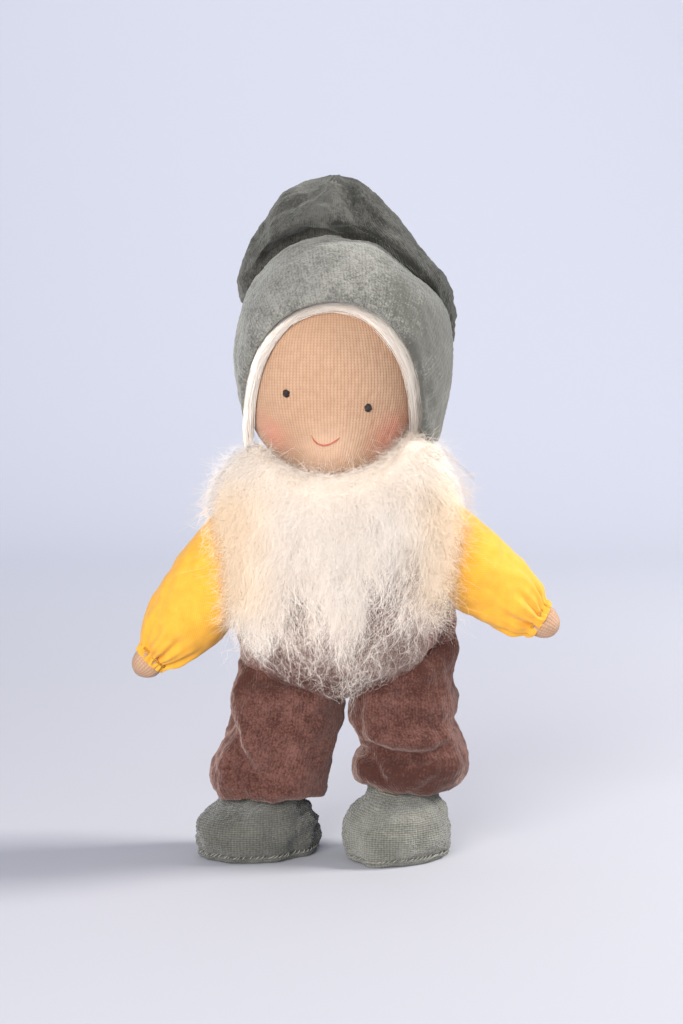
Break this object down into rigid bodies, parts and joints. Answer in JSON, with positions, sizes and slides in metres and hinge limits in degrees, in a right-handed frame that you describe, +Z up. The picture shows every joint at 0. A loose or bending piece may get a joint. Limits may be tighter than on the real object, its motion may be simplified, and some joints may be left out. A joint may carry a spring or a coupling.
{
  "type": "gnome doll",
  "caption": "Soft stuffed gnome doll in knitted jersey and velour, with a hooded hat, fleece beard, cotton sleeves, trousers and plush boots, able to stand.",
  "frame": {"origin": "on the floor, at the middle of the footprint of the bounding box", "axes": "+Z up along the doll's height, the doll faces -Y, +X is the doll's left"},
  "size_m": [0.1544, 0.0767, 0.24],
  "materials": {
    "trouser_velour": "matte",
    "shirt_cotton": "matte",
    "wool_stuffing": "matte",
    "fleece": "matte",
    "jersey_skin": "matte",
    "pale_thread": "matte",
    "eye_thread": "satin",
    "mouth_thread": "satin",
    "hat_velour": "matte",
    "sleeve_thread": "satin",
    "boot_plush": "matte"
  },
  "bodies": {
    "torso": {"trouser_seat": "trouser_velour", "shirt_body": "shirt_cotton", "torso_stuffing": "wool_stuffing", "beard_fleece": "fleece"},
    "neck": {"neck_stub": "jersey_skin", "neck_tie_thread": "pale_thread"},
    "head": {"head_skin": "jersey_skin", "head_core": "wool_stuffing", "eye_right": "eye_thread", "eye_left": "eye_thread", "mouth_stitch": "mouth_thread", "hair_fleece": "fleece", "hat_hood": "hat_velour", "hat_wadding": "wool_stuffing"},
    "peak": {"hat_peak": "hat_velour"},
    "arm_right": {"sleeve_right": "shirt_cotton", "arm_stuffing_right": "wool_stuffing", "hand_right": "jersey_skin", "wrist_thread_right": "sleeve_thread"},
    "arm_left": {"sleeve_left": "shirt_cotton", "arm_stuffing_left": "wool_stuffing", "hand_left": "jersey_skin", "wrist_thread_left": "sleeve_thread"},
    "leg_right": {"trouser_leg_right": "trouser_velour", "leg_core_right": "jersey_skin"},
    "leg_left": {"trouser_leg_left": "trouser_velour", "leg_core_left": "jersey_skin"},
    "foot_right": {"boot_upper_right": "boot_plush", "boot_sole_right": "boot_plush", "boot_stuffing_right": "wool_stuffing", "sole_seam_right": "pale_thread"},
    "foot_left": {"boot_upper_left": "boot_plush", "boot_sole_left": "boot_plush", "boot_stuffing_left": "wool_stuffing", "sole_seam_left": "pale_thread"}
  },
  "joints": [
    {"name": "neck_turn", "type": "hinge", "parent": "torso", "child": "neck", "pos_m": [-0.005, 0, 0.1293], "axis": [0, 0, 1], "range_deg": [-40, 40], "deforming": ["beard_fleece"]},
    {"name": "head_nod", "type": "hinge", "parent": "neck", "child": "head", "pos_m": [-0.005, 0, 0.138], "axis": [1, 0, 0], "range_deg": [-12, 12], "deforming": ["beard_fleece"]},
    {"name": "peak_tip", "type": "hinge", "parent": "head", "child": "peak", "pos_m": [0, 0.038, 0.1865], "axis": [-1, 0, 0], "range_deg": [0, 60]},
    {"name": "shoulder_right", "type": "hinge", "parent": "torso", "child": "arm_right", "pos_m": [-0.034, 0, 0.112], "axis": [-1, 0, 0], "range_deg": [-60, 120], "deforming": ["beard_fleece"]},
    {"name": "shoulder_left", "type": "hinge", "parent": "torso", "child": "arm_left", "pos_m": [0.026, 0, 0.112], "axis": [-1, 0, 0], "range_deg": [-60, 120], "deforming": ["beard_fleece"]},
    {"name": "hip_right", "type": "hinge", "parent": "torso", "child": "leg_right", "pos_m": [-0.02, 0, 0.0854], "axis": [-1, 0, 0], "range_deg": [-30, 80], "deforming": ["beard_fleece"]},
    {"name": "hip_left", "type": "hinge", "parent": "torso", "child": "leg_left", "pos_m": [0.02, 0, 0.0854], "axis": [-1, 0, 0], "range_deg": [-30, 80], "deforming": ["beard_fleece"]},
    {"name": "ankle_right", "type": "hinge", "parent": "leg_right", "child": "foot_right", "pos_m": [-0.0256, 0.0016, 0.02], "axis": [0, 0, 1], "range_deg": [-25, 25]},
    {"name": "ankle_left", "type": "hinge", "parent": "leg_left", "child": "foot_left", "pos_m": [0.0212, 0.0016, 0.02], "axis": [0, 0, 1], "range_deg": [-25, 25]}
  ]
}
